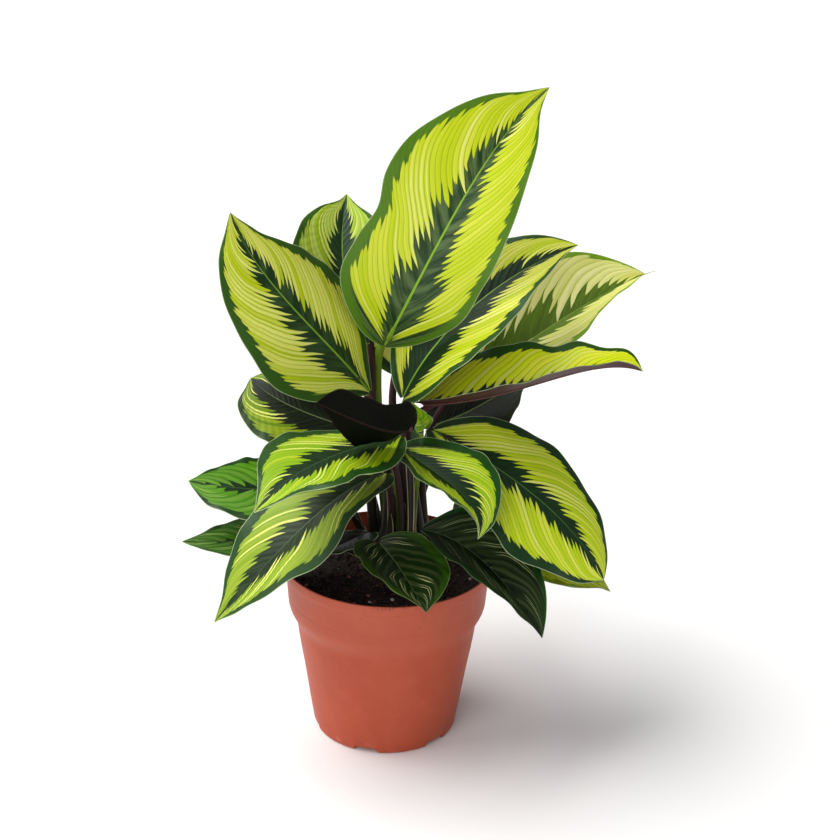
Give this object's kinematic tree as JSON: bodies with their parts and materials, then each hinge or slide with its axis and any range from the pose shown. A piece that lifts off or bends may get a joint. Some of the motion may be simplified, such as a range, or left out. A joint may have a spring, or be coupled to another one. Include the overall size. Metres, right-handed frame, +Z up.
{
  "type": "potted calathea",
  "caption": "Leafy houseplant with lime-striped, purple-backed leaves on slender stalks, rooted in dark soil in a tapered terracotta-coloured plastic pot.",
  "frame": {"origin": "centre of the pot's foot, on the surface it stands on", "axes": "+Z up along the pot's axis, -Y towards the viewer of the plant's best side, +X to that viewer's right"},
  "size_m": [0.3007, 0.254, 0.4291],
  "materials": {
    "pot": "matte",
    "soil": "matte",
    "crown": "matte",
    "blade_lime": "satin",
    "blade_pale": "satin",
    "blade_dark": "satin",
    "blade_pinstripe": "satin",
    "blade_reversed": "satin",
    "stalk_green": "satin",
    "stalk_maroon": "satin",
    "stalk_dark": "satin"
  },
  "bodies": {
    "root": {"pot": "pot", "potting_soil": "soil", "rhizome_crown": "crown", "blade_top_large": "blade_lime", "stalk_top_large": "stalk_green", "blade_upper_left": "blade_lime", "stalk_upper_left": "stalk_maroon", "blade_upper_rear": "blade_lime", "stalk_upper_rear": "stalk_maroon", "blade_upper_right": "blade_lime", "stalk_upper_right": "stalk_green", "blade_far_right_pale": "blade_pale", "stalk_far_right_pale": "stalk_maroon", "blade_right_level": "blade_lime", "stalk_right_level": "stalk_maroon", "blade_right_shaded": "blade_dark", "stalk_right_shaded": "stalk_maroon", "blade_right_drooping": "blade_lime", "stalk_right_drooping": "stalk_maroon", "blade_right_low_rear": "blade_lime", "stalk_right_low_rear": "stalk_maroon", "blade_centre_right": "blade_lime", "stalk_centre_right": "stalk_green", "blade_low_right_dark": "blade_dark", "stalk_low_right_dark": "stalk_dark", "blade_front_dark": "blade_dark", "stalk_front_dark": "stalk_dark", "blade_low_left_dark": "blade_dark", "stalk_low_left_dark": "stalk_dark", "blade_centre_left": "blade_lime", "stalk_centre_left": "stalk_maroon", "blade_left_drooping": "blade_lime", "stalk_left_drooping": "stalk_maroon", "blade_left_small_upper": "blade_pinstripe", "stalk_left_small_upper": "stalk_maroon", "blade_left_small_lower": "blade_pinstripe", "stalk_left_small_lower": "stalk_maroon", "blade_left_middle": "blade_lime", "stalk_left_middle": "stalk_maroon", "blade_centre_reversed": "blade_reversed", "stalk_centre_reversed": "stalk_maroon", "blade_young_rolled": "blade_lime", "stalk_young_rolled": "stalk_green", "blade_back_left": "blade_lime", "stalk_back_left": "stalk_maroon", "blade_back_right": "blade_lime", "stalk_back_right": "stalk_maroon", "blade_back_upright": "blade_lime", "stalk_back_upright": "stalk_maroon", "blade_back_low": "blade_dark", "stalk_back_low": "stalk_maroon", "blade_back_low_right": "blade_dark", "stalk_back_low_right": "stalk_maroon", "blade_back_low_left": "blade_pinstripe", "stalk_back_low_left": "stalk_maroon"}
  },
  "joints": []
}
